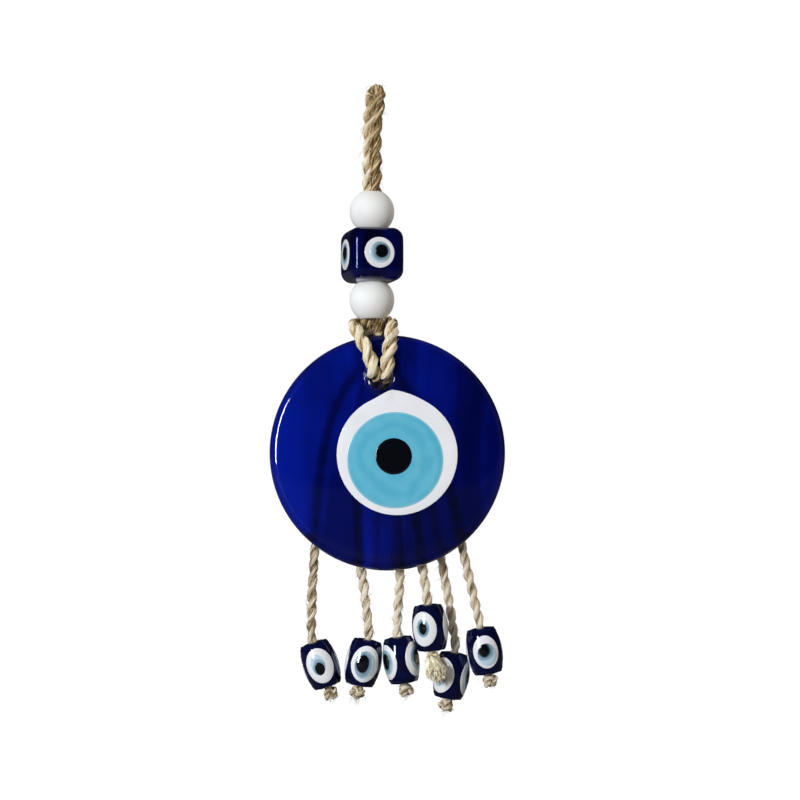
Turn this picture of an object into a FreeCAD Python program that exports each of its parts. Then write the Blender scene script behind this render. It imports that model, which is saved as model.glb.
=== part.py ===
import FreeCAD, Part
import math
import os

V = FreeCAD.Vector

# Evil eye wall ornament, in millimetres. +Z is up, the front faces -Y, and the origin is where the
# hanging loop bears on its nail. A jute rope carries three stacked beads and is hitched to a glass disc;
# six twines are knotted behind the disc and each carries a barrel bead.

# Jute rope and twine
ROPE_DIAMETER = 4.0
LEG_SPACING = 4.3
TWINE_DIAMETER = 3.0
RUNNING_CLEARANCE = 0.10
BUTT_GAP = 0.05

# Stack of beads on the two rope legs. The lower bead sits on the rope's hitch.
STACK_X = -1.3
STACK_SEAT_Z = -79.1
WHITE_BEAD_DIAMETER = 16.0
CUBE_SIZE = 19.5
CUBE_HEIGHT = 18.9
CUBE_EDGE_RADIUS = 3.6
CUBE_SEAT_DIAMETER = 10.8
CUBE_SEAT_DEPTH = 0.45
CUBE_TURN = 16.6
CUBE_EYE_DIAMETERS = (10.9, 7.8, 4.5)
CUBE_PUPIL_SHIFT = (0.8, 0.5)

# Glass disc, hung from a hole near its rim
HOLE_X = 1.7
HOLE_Z = -100.3
HOLE_DIAMETER = 9.0
HOLE_BELOW_RIM = 15.4
DISC_DIAMETER = 83.5
DISC_THICKNESS = 7.0
DISC_EDGE_RADIUS = DISC_THICKNESS * 3 / 7
DISC_OFFSET_X = 2.5
LIP_WIDTH = 1.6
LIP_HEIGHT = 0.5
# The eye's sizes and offsets are shares of the disc's diameter
WHITE_DIAMETER = DISC_DIAMETER * 0.5102
WHITE_OFFSET = (DISC_DIAMETER * 0.0419, DISC_DIAMETER * -0.0108)
WHITE_TIP = (DISC_DIAMETER * 0.0168, DISC_DIAMETER * 0.2635)
IRIS_DIAMETER = DISC_DIAMETER * 0.4072
IRIS_OFFSET = (DISC_DIAMETER * 0.0335, DISC_DIAMETER * -0.0335)
PUPIL_DIAMETER = DISC_DIAMETER * 0.1557
PUPIL_OFFSET = (DISC_DIAMETER * 0.0275, DISC_DIAMETER * -0.018)
INLAY_DEPTH = 0.8

# Barrel beads and the knots that stop them
BARREL_HEIGHT = 16.7
BARREL_DIAMETER = 12.6
BARREL_END_DIAMETER = 7.6
BARREL_END_CHAMFER = 0.5
BARREL_EYES = ((8.9, 12.4), (6.2, 8.8), (3.6, 5.2))
BARREL_EYE_COUNT = 3
END_KNOT_DIAMETER = 5.6
END_KNOT_HEIGHT = 5.2
MOUTH_RUN = 3.2

# Knot of the six twines round the rope legs, behind the disc
KNOT_CENTRE = (0.5, DISC_THICKNESS / 2 + 5.9, -90.5)
KNOT_SIZE = (17.0, 11.8, 10.0)
KNOT_OFF_GLASS = 0.15

# Rope: the loop and both legs down into the lower bead
HANGING_ROUTE = [
    (0.635, -0.76, -74.0), (-0.07, -1.76, -34.0), (-0.07, -1.76, -13.5), (1.0, -3.5, -5.5),
    (1.45, -3.65, 2.0), (-1.45, 3.65, 2.0), (-2.1, 3.4, -5.5), (-2.53, 1.76, -13.5),
    (-2.53, 1.76, -34.0), (-3.235, 0.76, -74.0),
]
# Rope: down behind the disc, through its hole, up the front, round behind the legs and back
HITCH_ROUTE = [
    (0.637, -0.757, -74.1), (0.75, -0.6, -80.3), (1.7, 3.2, -82.9), (1.7, 7.2, -87.2),
    (2.9, 8.7, -92.0), (3.85, 6.2, -99.5), (3.85, -6.3, -99.5), (4.5, -6.2, -92.8),
    (5.5, -5.9, -87.0), (6.2, -2.6, -81.6), (5.7, 3.4, -80.2), (2.2, 7.2, -80.2),
    (-4.0, 7.2, -80.2), (-7.1, 3.4, -80.2), (-7.4, -2.6, -81.7), (-5.1, -5.9, -86.8),
    (-1.9, -6.2, -92.8), (-0.45, -6.3, -99.5), (-0.45, 6.2, -99.5), (-1.5, 8.7, -92.0),
    (-3.0, 7.2, -87.4), (-3.9, 3.4, -83.2), (-3.35, 0.6, -80.3), (-3.237, 0.757, -74.1),
]

# Each tassel: where its twine leaves the rim and swings, its bead's centre and lean to the right in
# degrees, the way its eye faces, and the twine's route behind the disc down to the rim
TASSELS = [
    dict(hinge=(-21.7, 5.2, -158.6), bead=(-19.5, -201.8), lean=19.0, facing=0.0,
         route=[(-5.4, 9.2, -91.5), (-12.0, 6.4, -104.5), (-17.4, 5.2, -119.0), (-20.5, 5.2, -138.0)]),
    dict(hinge=(-5.5, 5.2, -166.4), bead=(-4.3, -201.1), lean=-11.0, facing=8.0,
         route=[(-2.9, 12.0, -91.5), (-4.8, 9.6, -103.0), (-6.7, 5.7, -116.0), (-6.8, 5.2, -140.0)]),
    dict(hinge=(9.1, 5.2, -167.3), bead=(9.1, -200.2), lean=8.5, facing=60.0,
         route=[(0.2, 12.2, -91.5), (0.9, 10.7, -103.0), (4.4, 6.4, -117.0), (7.6, 5.2, -140.0)]),
    dict(hinge=(16.3, 5.2, -165.9), bead=(19.3, -188.8), lean=5.0, facing=-25.0,
         route=[(3.3, 12.2, -91.5), (4.7, 10.7, -103.0), (8.8, 6.4, -116.0), (13.3, 5.2, -138.0)]),
    dict(hinge=(23.3, 10.6, -163.1), bead=(27.0, -206.2), lean=-9.0, facing=80.0,
         route=[(5.3, 14.9, -92.5), (8.9, 14.5, -106.0), (14.0, 12.4, -123.0), (19.4, 11.2, -143.0)]),
    dict(hinge=(30.4, 5.2, -158.5), bead=(38.7, -197.0), lean=10.0, facing=3.0,
         route=[(6.2, 10.2, -91.5), (11.6, 7.0, -103.5), (18.8, 5.2, -117.0), (25.8, 5.2, -136.0)]),
]

ROPE_RADIUS = ROPE_DIAMETER / 2
TWINE_RADIUS = TWINE_DIAMETER / 2
STACK_BORE_RADIUS = LEG_SPACING / 2 + ROPE_RADIUS + RUNNING_CLEARANCE
WHITE_BEAD_HEIGHT = 2 * math.sqrt((WHITE_BEAD_DIAMETER / 2) ** 2 - STACK_BORE_RADIUS ** 2)
LOWER_BEAD_Z = STACK_SEAT_Z + WHITE_BEAD_HEIGHT / 2
CUBE_SEAT_UP = CUBE_HEIGHT / 2 - CUBE_SEAT_DEPTH
CUBE_Z = STACK_SEAT_Z + WHITE_BEAD_HEIGHT + BUTT_GAP + CUBE_SEAT_UP
UPPER_BEAD_Z = CUBE_Z + CUBE_SEAT_UP + BUTT_GAP + WHITE_BEAD_HEIGHT / 2
DISC_X = HOLE_X + DISC_OFFSET_X
DISC_Z = HOLE_Z + HOLE_BELOW_RIM - DISC_DIAMETER / 2
TWINE_BORE_RADIUS = TWINE_RADIUS + RUNNING_CLEARANCE / 2
UP = V(0, 0, 1)
FRONT = V(0, -1, 0)


def save(shape, node):
    """Writes one node, as one closed solid or a group of them."""
    for solid in shape.Solids:
        if not solid.isValid() or solid.Volume <= 0:
            print("not a sound solid:", node)
    shape.exportStep(f"parts/{node}.step")
    return shape


def bend_radius(before, corner, after):
    """The largest even bend at a corner: it takes 0.45 of the shorter run each side."""
    turn = (corner - before).getAngle(after - corner)
    shorter = min((corner - before).Length, (after - corner).Length)
    return 0.45 * shorter / math.tan(turn / 2), turn


def cord_path(points, radii=None):
    """Straight runs joined by tangent arcs. radii gives a bend's own size by its place in the list."""
    points = [V(*p) for p in points]
    edges = []
    bends = []
    at = points[0]
    for i in range(1, len(points) - 1):
        radius, turn = bend_radius(points[i - 1], points[i], points[i + 1])
        radius = (radii or {}).get(i, radius)
        back = (points[i - 1] - points[i]).normalize()
        ahead = (points[i + 1] - points[i]).normalize()
        reach = radius * math.tan(turn / 2)
        start = points[i] + back * reach
        end = points[i] + ahead * reach
        middle = points[i] + (back + ahead).normalize() * (radius / math.cos(turn / 2) - radius)
        if (start - at).Length > 1e-6:
            edges.append(Part.LineSegment(at, start).toShape())
        edges.append(Part.Arc(start, middle, end).toShape())
        bends.append(radius)
        at = end
    edges.append(Part.LineSegment(at, points[-1]).toShape())
    return Part.Wire(edges), bends


def cord(name, points, diameter, radii=None):
    """A round cord along its route, with its bend radii and volume printed."""
    path, bends = cord_path(points, radii)
    start = V(*points[0])
    section = Part.Wire(Part.makeCircle(diameter / 2, start, V(*points[1]) - start))
    solid = path.makePipeShell([section], True, False)
    expected = math.pi * diameter ** 2 / 4 * path.Length
    print(f"{name}: length {path.Length:.1f}, volume {solid.Volume / expected:.4f} of section x length,",
          f"tightest bends {sorted(round(b, 1) for b in bends)[:3]}")
    return solid


def bored_ball(centre):
    """White ball bead with a straight bore for both rope legs."""
    ball = Part.makeSphere(WHITE_BEAD_DIAMETER / 2, centre)
    bore = Part.makeCylinder(STACK_BORE_RADIUS, 2 * WHITE_BEAD_DIAMETER, centre - UP * WHITE_BEAD_DIAMETER)
    return ball.cut(bore)


def about_stack(shape, turn, z):
    """Turns a piece made at the origin about its bore and lifts it to its place on the stack."""
    shape = shape.copy()
    shape.rotate(V(0, 0, 0), UP, turn)
    shape.translate(V(STACK_X, 0, z))
    return shape


def disc_prism(diameter, shift, reach):
    """Round plug along -Y, from the axis out to reach, its centre shifted across and up."""
    return Part.makeCylinder(diameter / 2, reach, V(shift[0], 0, shift[1]), FRONT)


def inlays(body, core, plugs, turns):
    """Cuts nested inlays (white, iris, pupil) flush into a body, one set at each turn about its axis."""
    skin = body.cut(core)
    layers = [[], [], []]
    for turn in turns:
        placed = [plug.copy() for plug in plugs]
        for plug in placed:
            plug.rotate(V(0, 0, 0), UP, turn)
        for k, plug in enumerate(placed):
            layer = skin.common(plug)
            if k < 2:
                layer = layer.cut(placed[k + 1])
            layers[k] += layer.Solids
        body = body.cut(skin.common(placed[0]))
    return body, [Part.Compound(solids) for solids in layers]


def cube_bead():
    """Rounded glass cube: bore with a dished seat at each end, and an eye on each of its four sides."""
    def block(size, height):
        box = Part.makeBox(size, size, height, V(-size / 2, -size / 2, -height / 2))
        return box.makeFillet(CUBE_EDGE_RADIUS, box.Edges)
    bore = Part.makeCylinder(STACK_BORE_RADIUS, 2 * CUBE_HEIGHT, V(0, 0, -CUBE_HEIGHT))
    body = block(CUBE_SIZE, CUBE_HEIGHT).cut(bore)
    for bottom in (CUBE_SEAT_UP, -CUBE_SEAT_UP - CUBE_HEIGHT):
        body = body.cut(Part.makeCylinder(CUBE_SEAT_DIAMETER / 2, CUBE_HEIGHT, V(0, 0, bottom)))
    core = Part.makeBox(CUBE_SIZE - 2 * INLAY_DEPTH, CUBE_SIZE - 2 * INLAY_DEPTH, CUBE_HEIGHT)
    core.translate(V(-CUBE_SIZE / 2 + INLAY_DEPTH, -CUBE_SIZE / 2 + INLAY_DEPTH, -CUBE_HEIGHT / 2))
    shifts = [(0, 0), (0, 0), CUBE_PUPIL_SHIFT]
    plugs = [disc_prism(d, s, CUBE_SIZE) for d, s in zip(CUBE_EYE_DIAMETERS, shifts)]
    return inlays(body, core, plugs, [90 * n for n in range(4)])


def barrel(inset=0.0):
    """Barrel shape about Z with small chamfers at its ends, or the same drawn in by inset."""
    half = BARREL_HEIGHT / 2
    end = BARREL_END_DIAMETER / 2 - inset
    belly = BARREL_DIAMETER / 2 - inset
    low = V(end, 0, -half + BARREL_END_CHAMFER)
    high = V(end, 0, half - BARREL_END_CHAMFER)
    corners = [V(end - BARREL_END_CHAMFER, 0, half), V(0, 0, half), V(0, 0, -half),
               V(end - BARREL_END_CHAMFER, 0, -half), low]
    edges = [Part.Arc(low, V(belly, 0, 0), high).toShape()]
    at = high
    for corner in corners:
        edges.append(Part.LineSegment(at, corner).toShape())
        at = corner
    return Part.Face(Part.Wire(edges)).revolve(V(0, 0, 0), UP, 360)


def oval_plug(width, height, reach):
    """Oval plug along -Y, from the axis out to reach."""
    ellipse = Part.Ellipse(V(0, 0, 0), height / 2, width / 2)
    face = Part.Face(Part.Wire(ellipse.toShape()))
    face.rotate(V(0, 0, 0), V(0, 1, 0), -90)
    face.rotate(V(0, 0, 0), UP, 90)
    if abs(face.BoundBox.ZLength - height) > 0.01 or face.BoundBox.YLength > 0.01:
        print("oval plug lies the wrong way", face.BoundBox)
    return face.extrude(FRONT * reach)


def barrel_bead():
    """Barrel bead with a bore for its twine and three oval eyes round it."""
    bore = Part.makeCylinder(TWINE_BORE_RADIUS, 2 * BARREL_HEIGHT, V(0, 0, -BARREL_HEIGHT))
    body = barrel().cut(bore)
    plugs = [oval_plug(w, h, BARREL_DIAMETER) for w, h in BARREL_EYES]
    turns = [360 / BARREL_EYE_COUNT * n for n in range(BARREL_EYE_COUNT)]
    return inlays(body, barrel(INLAY_DEPTH), plugs, turns)


def bead_axis(lean):
    """Way up along a leaning barrel bead: its foot leans to the right."""
    lean = math.radians(lean)
    return V(-math.sin(lean), 0, math.cos(lean))


def place_bead(shape, tassel):
    """Puts a piece made about the origin where a tassel's bead is, turned and leaning."""
    shape = shape.copy()
    shape.rotate(V(0, 0, 0), UP, tassel["facing"])
    shape.rotate(V(0, 0, 0), V(0, 1, 0), -tassel["lean"])
    shape.translate(bead_centre(tassel))
    return shape


def bead_centre(tassel):
    """A bead hangs plumb below its twine's hinge, seen from the side."""
    return V(tassel["bead"][0], tassel["hinge"][1], tassel["bead"][1])


def ellipsoid(centre, size):
    """Ellipsoid with the given overall sizes."""
    ball = Part.makeSphere(0.5)
    stretch = FreeCAD.Matrix()
    stretch.scale(V(*size))
    stretched = ball.transformGeometry(stretch)
    stretched.translate(V(*centre))
    return stretched


def glass_disc():
    """Disc with rounded rim, hole with a raised front lip, and the three layers of its eye."""
    half = DISC_THICKNESS / 2
    centre = V(DISC_X, 0, DISC_Z)
    body = Part.makeCylinder(DISC_DIAMETER / 2, DISC_THICKNESS, centre - FRONT * half, FRONT)
    rims = [e for e in body.Edges if e.Closed and isinstance(e.Curve, Part.Circle)]
    body = body.makeFillet(DISC_EDGE_RADIUS, rims)
    hole = V(HOLE_X, 0, HOLE_Z)
    lip_ring = HOLE_DIAMETER / 2 + LIP_WIDTH / 2
    lip = Part.makeTorus(lip_ring, LIP_WIDTH / 2, hole + FRONT * (half + LIP_HEIGHT - LIP_WIDTH / 2), FRONT)
    body = body.fuse(lip)
    body = body.cut(Part.makeCylinder(HOLE_DIAMETER / 2, 4 * DISC_THICKNESS, hole - FRONT * 2 * DISC_THICKNESS, FRONT))

    def plug(diameter, offset):
        at = centre + V(offset[0], 0, offset[1]) + FRONT * (half - INLAY_DEPTH)
        return Part.makeCylinder(diameter / 2, INLAY_DEPTH, at, FRONT)

    white = plug(WHITE_DIAMETER, WHITE_OFFSET)
    tip = V(DISC_X + WHITE_TIP[0], -half + INLAY_DEPTH, DISC_Z + WHITE_TIP[1])
    middle = V(DISC_X + WHITE_OFFSET[0], -half + INLAY_DEPTH, DISC_Z + WHITE_OFFSET[1])
    reach = (tip - middle).Length
    spread = math.degrees(math.acos(WHITE_DIAMETER / 2 / reach))
    flanks = []
    for side in (-1, 1):
        way = FreeCAD.Rotation(V(0, 1, 0), side * spread).multVec(tip - middle).normalize()
        flanks.append(middle + way * (WHITE_DIAMETER / 2))
    drop = Part.Face(Part.makePolygon([middle, flanks[0], tip, flanks[1], middle]))
    white = white.fuse(drop.extrude(FRONT * INLAY_DEPTH)).removeSplitter()
    white = white.cut(Part.makeCylinder(lip_ring + LIP_WIDTH / 2, DISC_THICKNESS * 2, hole, FRONT))
    iris = plug(IRIS_DIAMETER, IRIS_OFFSET)
    pupil = plug(PUPIL_DIAMETER, PUPIL_OFFSET)
    return body.cut(white), white.cut(iris), iris.cut(pupil), pupil


def end_knot(tassel):
    """Knot under a bead, flat where the bead sits on it."""
    below = BARREL_HEIGHT / 2 + BUTT_GAP
    knot = ellipsoid((0, 0, -below - END_KNOT_HEIGHT / 2 + 0.6), (END_KNOT_DIAMETER, END_KNOT_DIAMETER, END_KNOT_HEIGHT))
    slab = Part.makeCylinder(END_KNOT_DIAMETER, END_KNOT_HEIGHT, V(0, 0, -below))
    return place_bead(knot.cut(slab), tassel)


def dangling_twine(number, tassel, knot):
    """Twine from its hinge at the rim, bent at the bead's mouth, through the bead into the end knot."""
    axis = bead_axis(tassel["lean"])
    centre = bead_centre(tassel)
    hinge = V(*tassel["hinge"])
    mouth = centre + axis * (BARREL_HEIGHT / 2 + MOUTH_RUN)
    foot = centre - axis * (BARREL_HEIGHT / 2 + END_KNOT_HEIGHT / 2)
    turn = (mouth - hinge).getAngle(foot - mouth)
    mouth_bend = (MOUTH_RUN - 0.2) / math.tan(turn / 2)
    solid = cord(f"twine_{number}", [tuple(hinge), tuple(mouth), tuple(foot)], TWINE_DIAMETER, {1: mouth_bend})
    return solid.fuse(Part.makeSphere(TWINE_RADIUS, hinge)).removeSplitter().cut(knot)


def tassel_knot(hitch):
    """Knot of the six twines: it grips both rope legs and lies against the disc's back."""
    knot = ellipsoid(KNOT_CENTRE, KNOT_SIZE)
    face = DISC_THICKNESS / 2 + KNOT_OFF_GLASS
    knot = knot.cut(Part.makeBox(100, 100, 100, V(-50, face - 100, KNOT_CENTRE[2] - 50)))
    return knot.cut(hitch)


os.makedirs("parts", exist_ok=True)

save(cord("hanging_cord", HANGING_ROUTE, ROPE_DIAMETER), "hanging_cord")
save(bored_ball(V(STACK_X, 0, UPPER_BEAD_Z)), "upper_bead")
save(bored_ball(V(STACK_X, 0, LOWER_BEAD_Z)), "lower_bead")

cube, cube_layers = cube_bead()
save(about_stack(cube, CUBE_TURN, CUBE_Z), "cube_bead")
for layer, name in zip(cube_layers, ("whites", "irises", "pupils")):
    save(about_stack(layer, CUBE_TURN, CUBE_Z), f"cube_bead_{name}")

for piece, name in zip(glass_disc(), ("glass_disc", "disc_white", "disc_iris", "disc_pupil")):
    save(piece, name)

hitch_cord = save(cord("hitch_cord", HITCH_ROUTE, ROPE_DIAMETER), "hitch_cord")
knot_behind = save(tassel_knot(hitch_cord), "tassel_knot")

bead, bead_layers = barrel_bead()
for number, tassel in enumerate(TASSELS, 1):
    above_hinge = V(*tassel["hinge"]) + UP * (TWINE_RADIUS + BUTT_GAP)
    behind = cord(f"twine_{number}_behind_disc", tassel["route"] + [tuple(above_hinge)], TWINE_DIAMETER)
    save(behind.cut(knot_behind), f"twine_{number}_behind_disc")
    knot = save(end_knot(tassel), f"end_knot_{number}")
    save(dangling_twine(number, tassel, knot), f"twine_{number}")
    save(place_bead(bead, tassel), f"tassel_bead_{number}")
    for layer, name in zip(bead_layers, ("whites", "irises", "pupils")):
        save(place_bead(layer, tassel), f"tassel_bead_{number}_{name}")
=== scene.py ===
import math
import random

import bmesh
import bpy
import numpy as np
from mathutils import Matrix, Vector


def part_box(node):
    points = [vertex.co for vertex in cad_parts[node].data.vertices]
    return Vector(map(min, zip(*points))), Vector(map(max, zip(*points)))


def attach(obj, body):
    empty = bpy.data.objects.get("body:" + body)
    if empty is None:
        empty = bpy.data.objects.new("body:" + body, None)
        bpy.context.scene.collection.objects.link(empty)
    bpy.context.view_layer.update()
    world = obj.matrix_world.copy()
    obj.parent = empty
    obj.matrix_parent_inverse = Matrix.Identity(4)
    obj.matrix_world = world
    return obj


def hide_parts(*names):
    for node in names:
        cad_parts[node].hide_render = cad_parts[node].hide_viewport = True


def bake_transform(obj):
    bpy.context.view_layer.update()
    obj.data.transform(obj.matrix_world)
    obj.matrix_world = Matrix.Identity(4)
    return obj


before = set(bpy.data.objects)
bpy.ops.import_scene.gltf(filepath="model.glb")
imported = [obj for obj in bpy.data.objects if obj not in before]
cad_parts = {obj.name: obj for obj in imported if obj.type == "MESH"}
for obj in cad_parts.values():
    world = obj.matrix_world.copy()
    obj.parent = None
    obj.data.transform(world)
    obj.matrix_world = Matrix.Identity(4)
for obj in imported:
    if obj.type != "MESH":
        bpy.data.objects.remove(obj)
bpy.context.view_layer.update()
MM = 0.001

# ---------------------------------------------------------------- Camera
# The ornament hangs on a wall and is looked at from a little below its middle, square on.
AIM = Vector((8.7, 0, -108)) * MM
EYE_DISTANCE = 0.650
EYE_HEIGHT = -0.143
SEEN_WIDTH = 0.2842
SENSOR = 36.0

camera_data = bpy.data.cameras.new("camera")
camera = bpy.data.objects.new("camera", camera_data)
bpy.context.scene.collection.objects.link(camera)
camera.location = (AIM.x, -EYE_DISTANCE, EYE_HEIGHT)
camera.rotation_euler = (AIM - camera.location).to_track_quat("-Z", "Y").to_euler()
camera_data.sensor_width = SENSOR
camera_data.lens = SENSOR * (AIM - camera.location).length / SEEN_WIDTH
bpy.context.scene.camera = camera
bpy.context.scene.view_settings.view_transform = "Standard"

# ---------------------------------------------------------------- Hanging rope
# One length of natural jute rope, two plies laid up to the right. Its middle is hitched round the
# disc's rim through the hole, its two legs go up through the stacked beads, and the loop at the top
# takes the nail.
ROPE_DIAMETER = 4.5 * MM
ROPE_LAY = 12.5 * MM
# The route starts and ends inside the cube bead, where the rope's ends meet.
ROPE_ROUTE = [
    (0.34, -1.18, -57.0), (-0.07, -1.76, -34.0), (-0.07, -1.76, -13.5), (0.9, -3.5, -5.5),
    (1.45, -3.5, 3.2), (-1.45, 3.5, 3.2), (-2.2, 3.4, -5.5), (-2.53, 1.76, -13.5),
    (-2.53, 1.76, -34.0), (-3.29, 0.68, -76.3), (-3.35, 0.6, -80.3), (-3.15, 3.4, -83.2),
    (-2.75, 7.2, -87.4), (-1.5, 8.7, -92.0), (-0.45, 6.2, -99.5), (-0.45, -6.3, -99.5),
    (-1.9, -6.2, -92.8), (-5.1, -5.9, -86.8), (-7.4, -2.6, -81.7), (-7.1, 3.4, -80.2),
    (-4.0, 7.2, -82.5), (2.2, 7.2, -82.5), (5.7, 3.4, -80.2), (6.2, -2.6, -81.6),
    (5.5, -5.9, -87.0), (4.5, -6.2, -92.8), (3.85, -6.3, -99.5), (3.85, 6.2, -99.5),
    (2.9, 8.7, -92.0), (1.65, 7.2, -87.2), (1.35, 3.2, -82.9), (0.75, -0.6, -80.3),
    (0.68, -0.69, -76.3), (0.35, -1.17, -57.6),
]


def cord_line(points, step=0.35 * MM):
    """Evenly spaced points along the smooth line of a cord's route, which is given in millimetres."""
    curve = bpy.data.curves.new("route", "CURVE")
    curve.dimensions = "3D"
    curve.resolution_u = 24
    spline = curve.splines.new("NURBS")
    spline.points.add(len(points) - 1)
    for control, point in zip(spline.points, points):
        control.co = (*(Vector(point) * MM), 1)
    spline.order_u = 3
    spline.use_endpoint_u = True
    carrier = bpy.data.objects.new("route", curve)
    mesh = bpy.data.meshes.new_from_object(carrier)
    line = np.array([v.co for v in mesh.vertices])
    bpy.data.meshes.remove(mesh)
    bpy.data.objects.remove(carrier)
    bpy.data.curves.remove(curve)
    along = np.concatenate([[0], np.cumsum(np.linalg.norm(np.diff(line, axis=0), axis=1))])
    at = np.linspace(0, along[-1], max(8, int(along[-1] / step)))
    return np.stack([np.interp(at, along, line[:, k]) for k in range(3)], axis=1), at


def cord_frames(line):
    """Two directions square to a line at each of its points, carried along it without twist."""
    tangent = np.gradient(line, axis=0)
    tangent /= np.linalg.norm(tangent, axis=1)[:, None]
    side = np.cross(tangent[0], (0.3, 0.9, 0.2))
    sides = []
    for way in tangent:
        side = side - way * (side @ way)
        side = side / np.linalg.norm(side)
        sides.append(side)
    sides = np.array(sides)
    return tangent, sides, np.cross(tangent, sides)


def grown_tube(rings, tones, along):
    """Vertices, faces and per-corner UVs of a tube from its rings of points, with closed ends."""
    count, around = rings.shape[:2]
    points = rings.reshape(-1, 3)
    faces = []
    uvs = []
    for i in range(count - 1):
        for j in range(around):
            k = (j + 1) % around
            faces.append((i * around + j, i * around + k, (i + 1) * around + k, (i + 1) * around + j))
            low, high = along[i], along[i + 1]
            near, far = j / around, (j + 1) / around
            uvs += [(low, near), (low, far), (high, far), (high, near)]
    faces.append(tuple(range(around))[::-1])
    uvs += [(along[0], j / around) for j in range(around)][::-1]
    faces.append(tuple((count - 1) * around + j for j in range(around)))
    uvs += [(along[-1], j / around) for j in range(around)]
    return points, faces, uvs, tones.reshape(-1)


def stray_fibre(chance, start, way, out, length, thickness):
    """One thin bent fibre that leaves the yarn at start, mostly along it and a little outwards."""
    steps = 6
    at = np.array(start)
    heading = way * chance.choice((-1, 1)) + out * chance.uniform(0.15, 0.9)
    heading /= np.linalg.norm(heading)
    rings = []
    for n in range(steps):
        aside = np.cross(heading, out + 0.01)
        aside /= np.linalg.norm(aside) + 1e-9
        other = np.cross(heading, aside)
        width = thickness * (1 - 0.75 * n / (steps - 1))
        rings.append([at + width * (math.cos(a) * aside + math.sin(a) * other) for a in (0, 2.09, 4.19)])
        bend = np.array([chance.gauss(0, 0.28) for _ in range(3)]) - 0.12 * out * n
        heading = heading + bend
        heading /= np.linalg.norm(heading)
        at = at + heading * length / steps
    tone = np.full((steps, 3), chance.uniform(0.55, 1.0))
    return grown_tube(np.array(rings), tone, np.linspace(0, length, steps))


def mesh_piece(name, parts, finish):
    """One mesh object from several tubes, with the UV map and the tone that jute is coloured by; the tone
    holds painted shade as well as the fibre's own colour.
    """
    points, faces, uvs, tones = [], [], [], []
    base = 0
    for some_points, some_faces, some_uvs, some_tones in parts:
        points.append(some_points)
        faces += [tuple(base + v for v in face) for face in some_faces]
        uvs += some_uvs
        tones.append(some_tones)
        base += len(some_points)
    mesh = bpy.data.meshes.new(name)
    mesh.from_pydata(np.concatenate(points).tolist(), [], faces)
    layer = mesh.uv_layers.new(name="yarn")
    layer.data.foreach_set("uv", np.array(uvs, np.float32).reshape(-1))
    tone = mesh.attributes.new("tone", "FLOAT", "POINT")
    tone.data.foreach_set("value", np.concatenate(tones).astype(np.float32))
    mesh.polygons.foreach_set("use_smooth", [True] * len(mesh.polygons))
    mesh.materials.append(finish)
    piece = bpy.data.objects.new(name, mesh)
    bpy.context.scene.collection.objects.link(piece)
    return piece


def laid_rope(line, along, diameter, lay, hairs, seed, columns=26, swell=1.0, phase=0.0, stain_and_shading=0.0,
              ply_share=0.312):
    """Two plies of jute laid round each other along a line, each with ridges of fibre and stray hairs.

    The swell makes them fuller, the browning value more brown, which is the fibre's own colour on the
    twines and knots and painted light and shade on the hanging rope, and the ply's share of the diameter
    presses them into each other, at one place or all along."""
    chance = random.Random(seed)
    rough = np.random.default_rng(seed)
    hair_reach = 0.65 * diameter + 1.8 * MM
    tangent, side, other = cord_frames(line)
    swell = np.broadcast_to(swell, len(line))
    stain_and_shading = np.broadcast_to(stain_and_shading, len(line))
    parts = []
    for ply in range(2):
        turn = 2 * math.pi * along / lay + math.pi * ply + phase
        out = side * np.cos(turn)[:, None] + other * np.sin(turn)[:, None]
        centre = line + out * (diameter * (0.497 - ply_share) * swell)[:, None]
        across = np.cross(tangent, out)
        coarse = np.arange(0, along[-1] + 2 * lay, lay * 0.35)
        ridge = rough.normal(0, 1, (len(coarse), columns))
        ridge = (ridge + np.roll(ridge, 1, axis=1)) * 0.8
        shade = rough.normal(0, 1, (len(coarse), columns))
        shade = (shade + np.roll(shade, 1, axis=1)) * 0.8
        bulge = np.interp(along, coarse, rough.normal(1, 0.035, len(coarse)))
        strand = np.stack([np.interp(along, coarse, ridge[:, j]) for j in range(columns)], axis=1)
        colour = np.stack([np.interp(along, coarse, shade[:, j]) for j in range(columns)], axis=1)
        own = 2 * math.pi * np.arange(columns) / columns
        angle = own[None, :] - 0.45 * turn[:, None]
        radius = diameter * (ply_share * bulge * swell)[:, None] * (1 + 0.11 * strand)
        rings = centre[:, None] + radius[..., None] * (
            np.cos(angle)[..., None] * out[:, None] + np.sin(angle)[..., None] * across[:, None])
        # Painted shade: the plies' skin is coloured darker the nearer it lies to the cord's line, down in
        # the groove between the plies
        depth = np.linalg.norm(rings - line[:, None], axis=2) / (diameter * 0.5)
        tones = np.clip((depth - 0.62) / 0.46 + 0.20 * colour - stain_and_shading[:, None], 0, 1)
        parts.append(grown_tube(rings, tones, along))
        for _ in range(hairs // 2):
            i = chance.randrange(4, len(line) - 4)
            j = chance.randrange(columns)
            outward = rings[i, j] - line[i]
            outward /= np.linalg.norm(outward)
            fibre = stray_fibre(chance, rings[i, j], tangent[i], outward,
                                chance.uniform(1.5, 5.0) * MM, chance.uniform(0.05, 0.11) * MM)
            nearby = line[max(0, i - 16):i + 17]
            if np.linalg.norm(fibre[0][:, None] - nearby, axis=2).min(axis=1).max() < hair_reach:
                parts.append(fibre)
    return parts


class Number:
    """A number inside a node tree: arithmetic on it adds Math nodes."""

    def __init__(self, nodes, socket):
        self.nodes = nodes
        self.socket = socket

    def maths(self, operation, first, second):
        return self.nodes.node("ShaderNodeMath", {"operation": operation}, {0: first, 1: second})

    def sibling(self, name):
        """Another result of the same node."""
        return Number(self.nodes, self.socket.node.outputs[name])

    def __add__(self, other):
        return self.maths("ADD", self, other)

    def __mul__(self, other):
        return self.maths("MULTIPLY", self, other)

    def __sub__(self, other):
        return self.maths("SUBTRACT", self, other)

    def __rsub__(self, other):
        return self.maths("SUBTRACT", other, self)

    def __truediv__(self, other):
        return self.maths("DIVIDE", self, other)

    __radd__ = __add__
    __rmul__ = __mul__


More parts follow.
